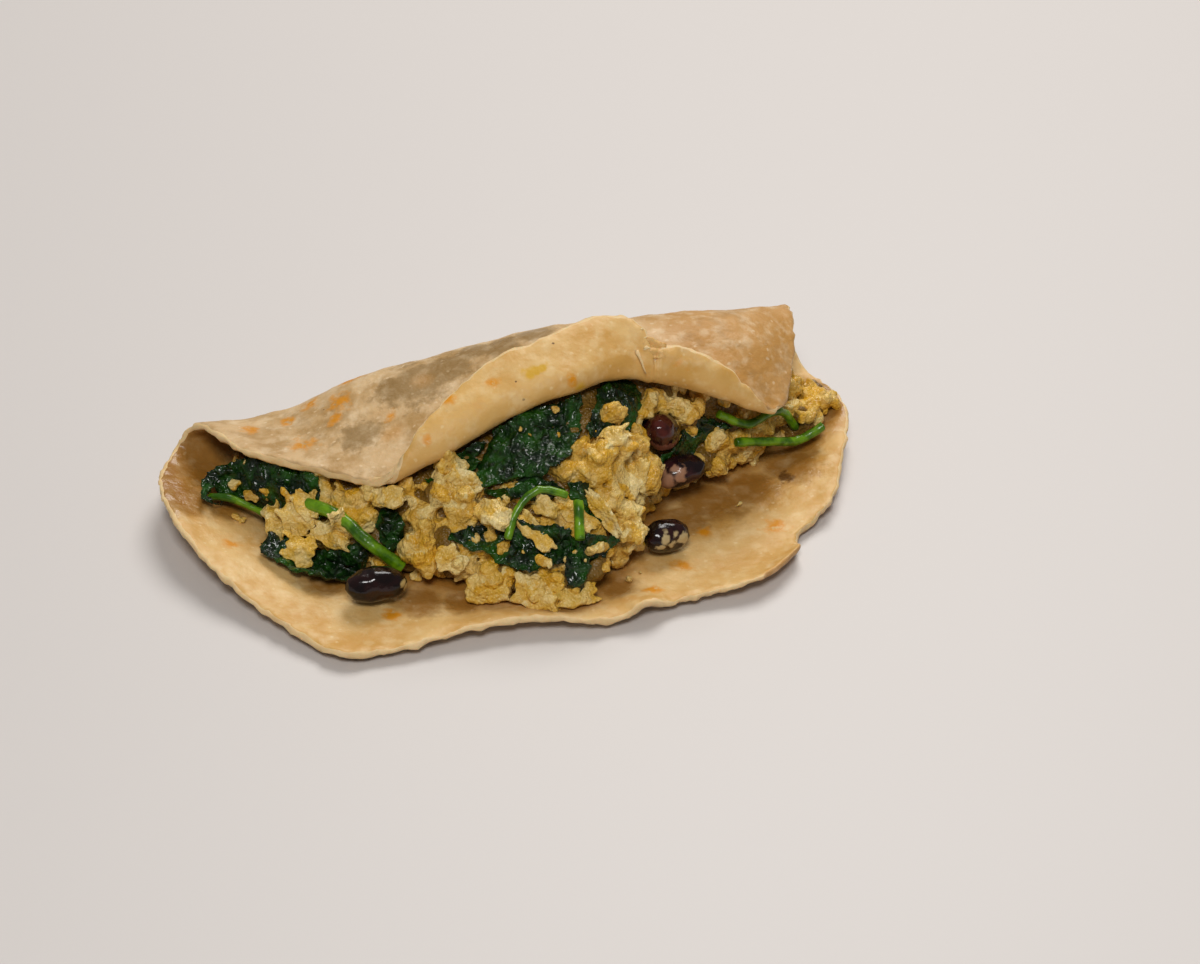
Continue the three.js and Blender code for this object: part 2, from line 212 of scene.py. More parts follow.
def startGroup(name, inputs, outputs):
    group = bpy.data.node_groups.new(name, "ShaderNodeTree")
    for label, kind, value in inputs:
        socket = group.interface.new_socket(name=label, in_out="INPUT", socket_type="NodeSocket" + kind)
        if value is not None:
            socket.default_value = value
    for label, kind in outputs:
        group.interface.new_socket(name=label, in_out="OUTPUT", socket_type="NodeSocket" + kind)
    return group, group.nodes.new("NodeGroupInput").outputs, group.nodes.new("NodeGroupOutput").inputs


def useGroup(nodes, group, wires):
    made = nodes.nodes.new("ShaderNodeGroup")
    made.node_tree = group
    wire(nodes, made, wires)
    return made.outputs


# The place moved at random by up to a few millimetres, which makes edges uneven.
def shaken(nodes, vector, scale, distance):
    rough = put(nodes, "TexNoise", {"Vector": vector, "Scale": scale, "Detail": 3.0})
    wires = {0: rough.outputs[1], 1: [distance * mm] * 3}
    shake = put(nodes, "VectorMath", wires, operation="MULTIPLY")
    return put(nodes, "VectorMath", {0: vector, 1: shake.outputs[0]}, operation="ADD").outputs[0]


# Round spots on some of the cells of a grid, with uneven edges.
def makeSpotGroup():
    group, given, result = startGroup(
        "uneven spots",
        [("Vector", "Vector", None), ("Scale", "Float", 100.0), ("Share", "Float", 0.3),
         ("Size", "Float", 0.3), ("Softness", "Float", 0.15)],
        [("Mask", "Float")])
    moved = shaken(group, given["Vector"], 420.0, 1.6)
    cells = put(group, "TexVoronoi", {"Vector": moved, "Scale": given["Scale"]})
    far = math2(group, "ADD", given["Size"], given["Softness"])
    spot = put(group, "MapRange", {0: cells.outputs["Distance"], 1: far, 2: given["Size"]},
               interpolation_type="SMOOTHSTEP").outputs[0]
    chance = put(group, "SeparateColor", {0: cells.outputs["Color"]}).outputs[0]
    chosen = math2(group, "LESS_THAN", chance, given["Share"])
    group.links.new(math2(group, "MULTIPLY", spot, chosen), result["Mask"])
    return group


# Fine grain as a height, from two sizes of noise.
def makeGrainGroup():
    group, given, result = startGroup(
        "fine grain",
        [("Vector", "Vector", None), ("Scale", "Float", 900.0), ("Coarse", "Float", 0.5)],
        [("Height", "Float")])
    fine = put(group, "TexNoise", {"Vector": given["Vector"], "Scale": given["Scale"], "Detail": 3.0})
    wide = math2(group, "MULTIPLY", given["Scale"], 0.22)
    coarse = put(group, "TexNoise", {"Vector": given["Vector"], "Scale": wide, "Detail": 2.0})
    lifted = math2(group, "MULTIPLY", coarse.outputs[0], given["Coarse"])
    group.links.new(math2(group, "ADD", fine.outputs[0], lifted), result["Height"])
    return group


spotGroup = makeSpotGroup()
grainGroup = makeGrainGroup()
print("stage: helpers and shared effects ready")


# The tortilla.

tortillaSet = dict(
    flatTurn=50,
    sharpTurn=65,
    # A place on the upper face of the bottom sheet.
    insidePlace=(10, -35, 2),
    # Relief starts at this height and is full after the given rise.
    liftFrom=0.4,
    liftRise=2,
    softRelief=1.0,
    fineRelief=0.35,
    raggedRim=1.6,
    rimWaves=(("X", 3.1), ("Y", 2.7), ("Z", 4.3)),
    rimReach=2.5,
    # The filling wets the sheet near it, up to a height, and the same mask paints the heap's shade onto
    # the sheet.
    moistShadeReach=8,
    moistShadeTop=26,
    moistShadeFade=12,
    goldenFrom=22,
    goldenTo=46,
    lipFrom=(22, 30),
    lipTo=(43, 37),
    # Places: x, y, z and radius.
    toasts=[
        (-40, 24, 23, 2.2), (-42, 18, 22, 1.5), (-52, 26, 17, 1.6), (-51, 12, 20, 2.6),
        (-37, 33, 23, 2.4), (-20, -1, 38, 1.8), (-38, -32, 2, 1.8), (-70, -4, 6, 1.6),
        (31, -26, 2, 1.7), (56, -16, 2, 2.2), (21, -35, 3, 1.8), (39, -15, 2, 1.5),
        (-9, 0, 40, 1.3), (9, -3, 41, 1.5), (36, 5, 37, 2.2), (-26, -10, 33, 1.2),
        (-61, 24, 17, 1.8), (-46, 30, 19, 1.6), (-30, 12, 25, 1.4),
    ],
    greyPatches=[
        (-22, 20, 29, 8), (-28, 20, 27.4, 5), (-15, 22, 30.5, 6), (-8, 26, 31.5, 5),
        (-2, 24, 34, 5), (6, 25, 36.4, 5), (-38, 9, 23, 5),
    ],
    # Places darkened as wet dough and as painted shade: under the roof's overhang at the left end, beside
    # the heap, and contact shadows of beans and a leaf.
    wetAndShadedPlaces=[
        (-81, 13, 10, 9), (-76, 25, 10, 10), (-80, 11, 9, 8), (-80, 22, 10, 7), (-72, 24, 9, 10),
        (-68, 30, 14, 9), (-66, 17, 19, 6), (-69, 12, 5, 7), (44, -3, 2, 9), (54, 0, 2, 8),
        (36, -9, 2, 6), (66, 6, 3, 8), (70, 14, 4, 7), (28, -8, 2, 7), (13, -31, 2, 5),
        (-31, -28, 2, 6), (-22, -30, 2, 5), (-50, -17, 2, 6),
    ],
    darkSpots=[(63, 2, 3, 1.6), (-60, 20, 8, 1.6)],
    eggStains=[
        (-0.5, -0.5, 41.6, 1.5), (0.9, 0, 42, 1), (2.7, 0.3, 42.6, 1.1), (12, -3, 38, 1.8),
        (15, -2, 38, 1.4),
    ],
    specks=[
        (6.3, 6.1, 45.2, 0.3), (-3.9, -1.2, 40.6, 0.28), (41.4, 3.9, 37.5, 0.3),
        (-2.8, -5, 38, 0.35), (-43.9, 24, 20.8, 0.3), (-56, 14, 9, 0.4), (22, -1, 40, 0.28),
        (-30, 20, 24, 0.25),
    ],
)


def spotsAt(nodes, vector, places, softness, ragged=0.45):
    mask = None
    shake = put(nodes, "TexNoise", {"Vector": vector, "Scale": 380.0, "Detail": 3.0})
    uneven = band(nodes, shake.outputs[0], 0.25, 0.75, 1 - ragged, 1 + ragged)
    for x, y, z, radius in places:
        reach = put(nodes, "VectorMath", {0: vector, 1: (x * mm, y * mm, z * mm)}, operation="DISTANCE")
        scaled = math2(nodes, "MULTIPLY", reach.outputs["Value"], uneven)
        spot = band(nodes, scaled, radius * mm * (1 + softness), radius * mm * (1 - softness))
        mask = spot if mask is None else math2(nodes, "MAXIMUM", mask, spot)
    return mask


# Pale clouded blotches and flecks in the dough.
def mottled(nodes, at, colour, pale, share, covered):
    share = band(nodes, covered, 0, 1, share, share * 0.4)
    clouds = band(nodes, noiseOf(nodes, at, 4, 4, 0.58, 0.2), 0.44, 0.72)
    colour = mixColour(nodes, math2(nodes, "MULTIPLY", clouds, share), colour, pale)
    large = useGroup(nodes, spotGroup, {"Vector": at, "Scale": 200.0, "Share": 0.4, "Size": 0.14,
                                        "Softness": 0.22})["Mask"]
    small = useGroup(nodes, spotGroup, {"Vector": at, "Scale": 460.0, "Share": 0.34, "Size": 0.12,
                                        "Softness": 0.14})["Mask"]
    flecks = math2(nodes, "MAXIMUM", math2(nodes, "MULTIPLY", large, 0.7), small)
    return mixColour(nodes, math2(nodes, "MULTIPLY", flecks, share), colour, pale)


# Toasted spots, then dark spots and specks.
def browned(nodes, at, colour, share, toast):
    breakUp = band(nodes, noiseOf(nodes, at, 1.6, 3, 0.6), 0.3, 0.5)
    toasted = math2(nodes, "MULTIPLY", spotsAt(nodes, at, tortillaSet["toasts"], 0.6), breakUp)
    colour = mixColour(nodes, math2(nodes, "MULTIPLY", toasted, share), colour, toast)
    dark = spotsAt(nodes, at, tortillaSet["darkSpots"] + tortillaSet["specks"], 0.3)
    return mixColour(nodes, math2(nodes, "MULTIPLY", dark, 0.8), colour, tone(78, 46, 16))


def crustRelief(nodes, at, smoother):
    grain = useGroup(nodes, grainGroup, {"Vector": at, "Scale": 800.0, "Coarse": 2.0})["Height"]
    lumps = math2(nodes, "MULTIPLY", noiseOf(nodes, at, 2.4, 3, 0.55), 1.4)
    raised = math2(nodes, "ADD", math2(nodes, "MULTIPLY", grain, 0.6), lumps)
    return math2(nodes, "SUBTRACT", raised, math2(nodes, "MULTIPLY", smoother, 0.8))


def tortillaOutside():
    material, nodes = startMaterial("tortilla_outside")
    at = objectVector(nodes)
    wide = noiseOf(nodes, at, 10, 4, 0.55, 0.2)
    colour = mixColour(nodes, band(nodes, wide, 0.36, 0.62), tone(180, 142, 88), tone(212, 178, 130))
    across = put(nodes, "SeparateXYZ", {0: at}).outputs[0]
    golden = band(nodes, across, tortillaSet["goldenFrom"] * mm, tortillaSet["goldenTo"] * mm, 0.0, 0.7)
    colour = mixColour(nodes, golden, colour, tone(194, 138, 62))
    grey = spotsAt(nodes, at, tortillaSet["greyPatches"], 0.35, 0.3)
    soaked = band(nodes, noiseOf(nodes, at, 16, 4, 0.6, 0.2), 0.5, 0.62)
    soaked = math2(nodes, "MAXIMUM", math2(nodes, "MULTIPLY", soaked, 0.3),
                   math2(nodes, "MULTIPLY", grey, 0.75))
    colour = mixColour(nodes, soaked, colour, tone(138, 108, 62))
    colour = mottled(nodes, at, colour, tone(234, 208, 168), 0.5, soaked)
    blisters = useGroup(nodes, spotGroup, {"Vector": at, "Scale": 90.0, "Share": 0.3, "Size": 0.06,
                                           "Softness": 0.35})["Mask"]
    colour = mixColour(nodes, math2(nodes, "MULTIPLY", blisters, 0.35), colour, tone(216, 156, 82))
    colour = browned(nodes, at, colour, 0.95, tone(212, 138, 20))
    raised = crustRelief(nodes, at, soaked)
    rough = band(nodes, soaked, 0, 1, 0.52, 0.38)
    finishMaterial(nodes, colour, rough, bump(nodes, raised, 0.26), Subsurface_Weight=0.1,
                   Subsurface_Radius=(1, 0.7, 0.45), Subsurface_Scale=0.0015, Specular_IOR_Level=0.3)
    return material


def tortillaInside():
    material, nodes = startMaterial("tortilla_inside")
    at = objectVector(nodes)
    wide = noiseOf(nodes, at, 12, 3, 0.5, 0.3)
    colour = mixColour(nodes, band(nodes, wide, 0.3, 0.7), tone(206, 156, 80), tone(226, 187, 122))
    height = put(nodes, "SeparateXYZ", {0: at}).outputs[2]
    rise, fall = [band(nodes, height, low * mm, high * mm)
                  for low, high in (tortillaSet["lipFrom"], tortillaSet["lipTo"])]
    lip = math2(nodes, "MULTIPLY", rise, fall)
    colour = mixColour(nodes, math2(nodes, "MULTIPLY", lip, 0.45), colour, tone(216, 164, 76))
    # Wet dough and painted shade: the mask and the listed places darken the sheet near the heap, under the
    # roof and beside beans and a leaf; wetness also lowers roughness.
    places = spotsAt(nodes, at, tortillaSet["wetAndShadedPlaces"], 0.9, 0.15)
    moistAndShade = math2(nodes, "MAXIMUM", attribute(nodes, "moistAndShade"), places)
    wetAndShade = band(nodes, math2(nodes, "ADD", moistAndShade, math2(nodes, "MULTIPLY", wide, 0.5)), 0.45, 1.15)
    colour = mixColour(nodes, math2(nodes, "MULTIPLY", wetAndShade, 0.88), colour, tone(148, 97, 30))
    colour = mottled(nodes, at, colour, tone(240, 214, 162), 0.4, wetAndShade)
    blush = band(nodes, noiseOf(nodes, at, 7, 3, 0.6), 0.58, 0.75)
    colour = mixColour(nodes, math2(nodes, "MULTIPLY", blush, 0.25), colour, tone(212, 146, 66))
    stained = spotsAt(nodes, at, tortillaSet["eggStains"], 0.5)
    colour = mixColour(nodes, math2(nodes, "MULTIPLY", stained, 0.85), colour, tone(214, 164, 24))
    colour = browned(nodes, at, colour, 0.95, tone(220, 142, 12))
    raised = crustRelief(nodes, at, wetAndShade)
    rough = band(nodes, wetAndShade, 0, 1, 0.46, 0.26)
    finishMaterial(nodes, colour, rough, bump(nodes, raised, 0.16), Subsurface_Weight=0.1,
                   Subsurface_Radius=(1, 0.7, 0.45), Subsurface_Scale=0.0015, Specular_IOR_Level=0.3)
    return material


def tortillaRim():
    material, nodes = startMaterial("tortilla_rim")
    at = objectVector(nodes)
    colour = mixColour(nodes, noiseOf(nodes, at, 3), tone(216, 178, 116), tone(242, 214, 164))
    grain = useGroup(nodes, grainGroup, {"Vector": at, "Scale": 900.0, "Coarse": 1.5})["Height"]
    finishMaterial(nodes, colour, 0.6, bump(nodes, grain, 0.25), Subsurface_Weight=0.1,
                   Subsurface_Scale=0.0015, Specular_IOR_Level=0.4)
    return material


# Faces at the cut edge have no opposite face close behind them.
def rimFaces(piece):
    shell = tree(piece)
    found = []
    for face in piece.data.polygons:
        start = face.center - face.normal * 0.3 * mm
        if shell.ray_cast(start, -face.normal, tortillaSet["rimReach"] * mm)[0] is None:
            found.append(face.index)
    return found


def selectFaces(piece, wanted):
    pick(piece)
    for part in (piece.data.vertices, piece.data.edges, piece.data.polygons):
        part.foreach_set("select", [False] * len(part))
    for index in wanted:
        piece.data.polygons[index].select = True
    pick(piece, "EDIT")
    bpy.ops.mesh.select_mode(type="FACE")


def linkedFaces(piece, start):
    selectFaces(piece, [start])
    bpy.ops.mesh.select_linked(delimit={"SEAM"})
    bpy.ops.object.mode_set(mode="OBJECT")
    return [face.index for face in piece.data.polygons if face.select]


def makeTortilla():
    piece = copyOfNode("tortilla", "flour_tortilla")
    pick(piece, "EDIT")
    bpy.ops.mesh.select_all(action="SELECT")
    flatTurn = math.radians(tortillaSet["flatTurn"])
    bpy.ops.mesh.tris_convert_to_quads(face_threshold=flatTurn, shape_threshold=flatTurn)
    bpy.ops.mesh.select_mode(type="EDGE")
    bpy.ops.mesh.select_all(action="DESELECT")
    bpy.ops.mesh.edges_select_sharp(sharpness=math.radians(tortillaSet["sharpTurn"]))
    bpy.ops.mesh.mark_seam(clear=False)
    bpy.ops.object.mode_set(mode="OBJECT")
    selectFaces(piece, rimFaces(piece))
    bpy.ops.mesh.region_to_loop()
    bpy.ops.mesh.mark_seam(clear=False)
    bpy.ops.object.mode_set(mode="OBJECT")
    faces = piece.data.polygons
    lowest = min(faces, key=lambda face: face.center.z + face.normal.z * 5 * mm).index
    insidePlace = Vector(tortillaSet["insidePlace"]) * mm
    bottomTop = min(faces, key=lambda face: (face.center - insidePlace).length
                    + (1 - face.normal.z) * 10 * mm).index
    outside = set(linkedFaces(piece, lowest))
    inside = set(linkedFaces(piece, bottomTop))
    print("tortilla faces", len(faces), "outside", len(outside), "inside", len(inside))
    for material in (tortillaOutside(), tortillaInside(), tortillaRim()):
        piece.data.materials.append(material)
    rimPoints = set()
    for face in piece.data.polygons:
        face.material_index = 0 if face.index in outside else 1 if face.index in inside else 2
        if face.material_index == 2:
            rimPoints.update(face.vertices)
    rim = piece.vertex_groups.new(name="rim")
    rim.add(list(rimPoints), 1.0, "REPLACE")
    modify(piece, "SUBSURF", levels=2, render_levels=2)
    lifted = piece.vertex_groups.new(name="lifted")
    for vertex in piece.data.vertices:
        share = (vertex.co.z / mm - tortillaSet["liftFrom"]) / tortillaSet["liftRise"]
        lifted.add([vertex.index], min(1, max(0, share)), "REPLACE")
    push(piece, texture("CLOUDS", 9), tortillaSet["softRelief"], group="lifted")
    push(piece, texture("CLOUDS", 2.6), tortillaSet["fineRelief"], group="lifted")
    for direction, size in tortillaSet["rimWaves"]:
        push(piece, texture("CLOUDS", size), tortillaSet["raggedRim"], direction, group="rim")
    heap = tree(frame["nodes"]["scrambled_egg"])
    # Wetness and painted shade near the heap, fading with height; the inside material darkens the sheet by
    # it.
    moistAndShade = []
    for vertex in piece.data.vertices:
        away = heap.find_nearest(vertex.co)[3] / mm / tortillaSet["moistShadeReach"]
        low = (tortillaSet["moistShadeTop"] - vertex.co.z / mm) / tortillaSet["moistShadeFade"]
        moistAndShade.append(min(1, max(0, low)) * max(0, 1 - away))
    setAttribute(piece, "moistAndShade", moistAndShade)
    finishPiece(piece, None, "tortilla", "tortilla")


makeTortilla()
print("stage: tortilla ready")


# Scrambled egg: a core with curds heaped over its open face.

eggSet = dict(
    seed=7,
    kinds=6,
    curdWaves=((1.1, 0.55), (2.6, 0.28), (5, 0.12)),
    grainSize=0.5,
    # Curds laid over the open face, on places drawn from all its triangles.
    drawCount=9000,
    crustCount=570,
    crustRadius=(1.2, 3.2),
    smallest=0.8,
    # Past this x all curds have one radius.
    endFrom=68,
    endRadius=2,
    # Faces that look down, or at the roof within this reach, take no curds.
    lowestFacing=-0.35,
    roofReach=8,
    # Room to other pieces and to the sheet, as a share of the radius.
    roomShare=0.7,
    wallShare=0.8,
    swell=0.9,
    nodule=0.75,
    fine=0.3,
    # How far a clump's small curds lie from its centre, and their radius, as shares of its own.
    clumpCore=0.8,
    clumpCount=7,
    clumpSpread=0.62,
    clumpRadius=(0.3, 0.5),
    # The core under the curds.
    coreGrain=0.9,
    coreLump=3.4,
    coreRelief=1.4,
    # Flat pieces: start, end, width and thickness.
    flakes=[
        ((-60.2, 3.2, 9.6), (-58.8, -6.8, 8.2), 4.4, 1.4),
        ((-56.2, -1, 13), (-53.4, -6.4, 8.8), 6.6, 1.6),
        ((-54.6, -0.4, 15.4), (-51.4, -6, 12.4), 4, 1.4),
        ((-51.6, -7, 9.8), (-44.6, -12.8, 9.4), 4.4, 1.6),
        ((-47.2, -11.6, 16.6), (-45.2, -11.2, 10.2), 4.4, 1.8),
        ((-58.4, -9.6, 8.2), (-52.8, -12.8, 6.6), 6, 1.4),
        ((1.4, -21.6, 21.2), (8.8, -26.6, 16.2), 4.2, 2),
        ((-3.6, -23.2, 22.8), (0.6, -24.4, 19.8), 4, 1.6),
        ((-7.1, -23, 19), (-2.4, -31.8, 15.6), 3.6, 1.6),
        ((-15.6, -19.4, 20.2), (-10.5, -25.9, 20), 5, 3),
        ((9, -22.4, 22.6), (14.5, -26.4, 14.2), 3.2, 1.8),
        ((-20.4, -28.8, 4.6), (-11.4, -31.6, 5.8), 6.2, 3.8),
        ((-9, -32.2, 5.8), (-1.6, -37, 5.8), 7, 3.8),
        ((-1.4, -37.2, 5.4), (7.4, -35.2, 4.6), 4.4, 2.6),
        ((-38, -9.6, 18.4), (-32, -12.6, 20.4), 4, 2),
        ((14, -13.6, 30.4), (20, -10.6, 30.4), 4, 2),
        ((24, -12.6, 22.4), (20, -16.6, 16.4), 3.6, 2),
        ((36, 2.4, 22.4), (40, 4.4, 15.4), 4, 2.2), ((-22, -13, 24), (-15, -15, 23), 5, 2),
        ((-26, -23.6, 11.6), (-21, -26, 9), 5, 2.4),
    ],
    # Crumbs: x, y, z and radius.
    crumbs=[
        (-67.3, 13.5, 9.6, 1.3), (-65.8, 13.6, 10.2, 1.1), (-63.7, 10.2, 8.8, 1.5),
        (-62.3, 8.6, 8.6, 1.2), (-61.2, 7.2, 12, 1), (-64, 14.2, 15.4, 0.8),
        (-55.7, 0.6, 13.4, 1.2), (-54.5, 0, 14.2, 1), (-57, 1.5, 15, 1.2), (-11, -27.6, 15, 1),
        (-4.5, -32.4, 13.3, 1.7), (-2.8, -33.4, 13, 1.3), (1.2, -33, 13, 1),
        (7.2, -31.8, 13.4, 1.3), (9.7, -31, 13.8, 1.4), (5.4, -34.8, 13.6, 0.8),
        (-18.8, -24.2, 9.8, 1.9), (-17.2, -28, 9, 1.6), (-20.1, -23.2, 10.4, 1.5),
        (3.6, -32.4, 14.4, 0.8), (11, -29.4, 12, 1.6), (13, -27.4, 10, 1.5), (-8, -30, 14, 0.8),
        (-13, -28, 13.4, 0.9), (50, -5.9, 2.7, 0.9), (49.2, -6.6, 2.6, 0.6),
        (-67.9, 5.8, 6.2, 1.2), (-66.4, 4.6, 5.9, 1), (-31.3, -20.1, 2.9, 1.1),
        (-29.8, -21, 2.7, 0.8), (20.2, -27.9, 2.7, 0.7), (17, -30, 2.8, 1),
        (4.2, -10.6, 31.2, 0.8), (-4, -7.8, 32, 0.7), (17.9, -4.6, 32.2, 2.6),
        (4.8, -4.8, 34.2, 1.1), (-2, -9, 31, 0.6), (16, -5.6, 31, 1.4),
    ],
    # Places of white and of bright yellow: x, y, z and radius.
    whites=[
        (-19, -9.5, 25, 2.6), (-21, -10, 23.6, 1.8), (36, 4.8, 24.6, 2.6), (34.4, 5.4, 26.6, 2),
        (2, -21, 24, 1.4),
    ],
    brights=[
        (-56, -10, 7.6, 4), (5, -24.5, 18.6, 4), (-3.6, -28, 18.6, 3.4), (-15, -30, 5, 6),
        (-4, -35, 5, 5.6), (5, -35, 5, 4), (-27, -21, 9, 5), (13, -16, 27, 4), (37, 4, 19, 5),
        (78, 23, 9, 6), (-44, -6, 17, 4), (-56, -1, 11, 3),
    ],
    # Larger clumps: x, y, z and radius.
    clumps=[
        (-48, 3, 19, 2.9), (-56, -0.5, 10, 2.6), (-50, -6, 8, 2.4), (-45, -8, 12, 2.6),
        (-43, -5, 16, 3), (-39, -10, 14, 2.4), (-37, -7, 19, 3.4), (-31, -9, 20, 3.4),
        (-21, -9, 25, 4.6), (-19, -16, 20, 5.2), (-29, -15, 15, 3), (-32, -20, 12, 2.6),
        (-27, -21, 9, 5.6), (-22, -26, 10, 2.2), (-15, -29, 5, 5), (-5, -33, 5, 4.6),
        (3, -35, 5, 3.4), (-13, -21, 19, 3.6), (-2, -25, 16, 2.4), (13, -16, 26, 5.4),
        (19, -12, 27, 3.6), (14, -20, 19, 4), (18, -25, 12, 4.4), (16, -24, 7, 3),
        (21, -22, 6, 2.4), (24, -9, 23, 3), (25, -14, 18, 3.6), (19, -5, 31, 2.9),
        (29, 3, 28, 3.4), (37, 4, 25, 3), (47, 6, 14, 3.6), (48, 6, 7, 3), (54, 9, 18, 3),
        (55, 9, 8, 3), (61, 11, 11, 2.8), (76, 24, 9, 2.6), (9, -17, 25, 2.9), (40, 8, 19, 3),
    ],
)


def curdShapes():
    shapes = []
    for index in range(eggSet["kinds"]):
        bpy.ops.mesh.primitive_ico_sphere_add(subdivisions=3, radius=1, location=(0, 0, 0))
        curd = bpy.context.object
        curd.name = f"curd_{index}"
        stretch = (random.uniform(0.9, 1.3), random.uniform(0.75, 1), random.uniform(0.6, 0.9))
        curd.data.transform(Matrix.Diagonal((*stretch, 1)))
        for vertex in curd.data.vertices:
            spot = vertex.co + Vector((index * 7.3, index * 3.1, 0))
            lumps = [noise.noise(spot * rate) * height for rate, height in eggSet["curdWaves"]]
            vertex.co *= 1 + sum(lumps)
        shapes.append(curd)
    return shapes


def flakeShape():
    bpy.ops.mesh.primitive_cube_add(size=1, location=(0, 0, 0))
    flake = bpy.context.object
    modify(flake, "SUBSURF", levels=4, render_levels=4, subdivision_type="SIMPLE")
    modify(flake, "SMOOTH", factor=0.5, iterations=4)
    return flake


# A flat piece from start to end that faces up and to the front, with an uneven outline.
def flakeCopy(shape, start, end, width, thickness, number):
    along = (Vector(end) - Vector(start)) * mm
    facing = Vector((-0.21, -0.78, 0.58))
    across = facing.cross(along).normalized()
    facing = along.cross(across).normalized()
    middle = (Vector(start) + Vector(end)) / 2 * mm
    flake = duplicate(shape, Matrix.Identity(4))
    for vertex in flake.data.vertices:
        x, y, z = vertex.co
        ragged = 1 + 0.5 * noise.noise(Vector((x * 3, number * 5.1, 0)))
        wide = width * (1.1 - 0.8 * x * x) * ragged
        longer = 1.1 + 0.35 * noise.noise(Vector((y * 3, number * 2.3, 4)))
        bend = 2 * noise.noise(Vector((x * 1.6 + number * 3.7, y * 1.6, 2)))
        lift = z * thickness * (1 - 0.8 * max(x * x, y * y)) + bend
        vertex.co = middle + along * x * longer + across * y * wide * mm + facing * lift * mm
    return flake


def makeEgg():
    random.seed(eggSet["seed"])
    heap = copyOfNode("scrambled_egg", "egg_core")
    roof = tree(frame["nodes"]["tortilla"])
    names = [name for name in frame["nodes"] if name not in ("tortilla", "scrambled_egg")]
    others = [tree(frame["nodes"][name]) for name in names]
    shapes = curdShapes()
    mesh = heap.data
    mesh.calc_loop_triangles()
    corners = [[mesh.vertices[i].co.copy() for i in triangle.vertices] for triangle in mesh.loop_triangles]
    normals = [triangle.normal.copy() for triangle in mesh.loop_triangles]
    areas = [triangle.area for triangle in mesh.loop_triangles]
    drawn = random.choices(range(len(corners)), areas, k=eggSet["drawCount"])
    curds = []

    def addCurd(place, radius):
        turn = Euler([random.uniform(0, 6.3) for _ in range(3)]).to_matrix().to_4x4()
        size = Matrix.Scale(radius * mm, 4)
        shape = shapes[random.randrange(len(shapes))]
        curds.append(duplicate(shape, Matrix.Translation(place) @ turn @ size))

    def freeRoom(place):
        return min(other.find_nearest(place)[3] for other in others)

    placed = 0
    for number in drawn:
        if placed >= eggSet["crustCount"]:
            break
        a, b, c = corners[number]
        u, v = random.random(), random.random()
        if u + v > 1:
            u, v = 1 - u, 1 - v
        place = a + (b - a) * u + (c - a) * v
        normal = normals[number]
        covered = roof.ray_cast(place + normal * 0.3 * mm, normal, eggSet["roofReach"] * mm)[0]
        if normal.z < eggSet["lowestFacing"] or covered:
            continue
        atEnd = place.x > eggSet["endFrom"] * mm
        radius = eggSet["endRadius"] if atEnd else random.uniform(*eggSet["crustRadius"])
        if freeRoom(place) < radius * eggSet["roomShare"] * mm:
            continue
        wall = roof.find_nearest(place)[3] / mm
        if wall < radius * eggSet["wallShare"]:
            radius = max(wall / eggSet["wallShare"], eggSet["smallest"])
        addCurd(place, radius)
        placed += 1
    for x, y, z, radius in eggSet["clumps"]:
        centre = Vector((x, y, z)) * mm
        addCurd(centre, radius * eggSet["clumpCore"])
        for _ in range(eggSet["clumpCount"]):
            aside = Vector([random.gauss(0, 1) for _ in range(3)]).normalized()
            place = centre + aside * radius * eggSet["clumpSpread"] * mm
            addCurd(place, radius * random.uniform(*eggSet["clumpRadius"]))
    for x, y, z, radius in eggSet["crumbs"]:
        addCurd(Vector((x, y, z)) * mm, radius)
    for shape in shapes:
        bpy.data.objects.remove(shape)
    crust = joined(curds, "egg_curds")
    print("curds", len(curds), "placed", placed)
    modify(crust, "REMESH", mode="VOXEL", voxel_size=eggSet["grainSize"] * mm)
    modify(crust, "SMOOTH", factor=0.5, iterations=1)
    push(crust, texture("CLOUDS", 3), eggSet["swell"])
    push(crust, texture("VORONOI", 1.2), -eggSet["nodule"])
    push(crust, texture("CLOUDS", 0.7), eggSet["fine"])
    modify(crust, "SMOOTH", factor=0.5, iterations=2)
    print("egg curds faces", len(crust.data.polygons))
    return heap, crust


def makeFlakes():
    flat = flakeShape()
    copies = [flakeCopy(flat, *flake, number) for number, flake in enumerate(eggSet["flakes"])]
    bpy.data.objects.remove(flat)
    flakes = joined(copies, "egg_flakes")
    push(flakes, texture("CLOUDS", 2.2), 0.6)
    push(flakes, texture("VORONOI", 1.3), -0.45)
    push(flakes, texture("CLOUDS", 0.9), 0.2)
    print("egg flakes faces", len(flakes.data.polygons))
    return flakes


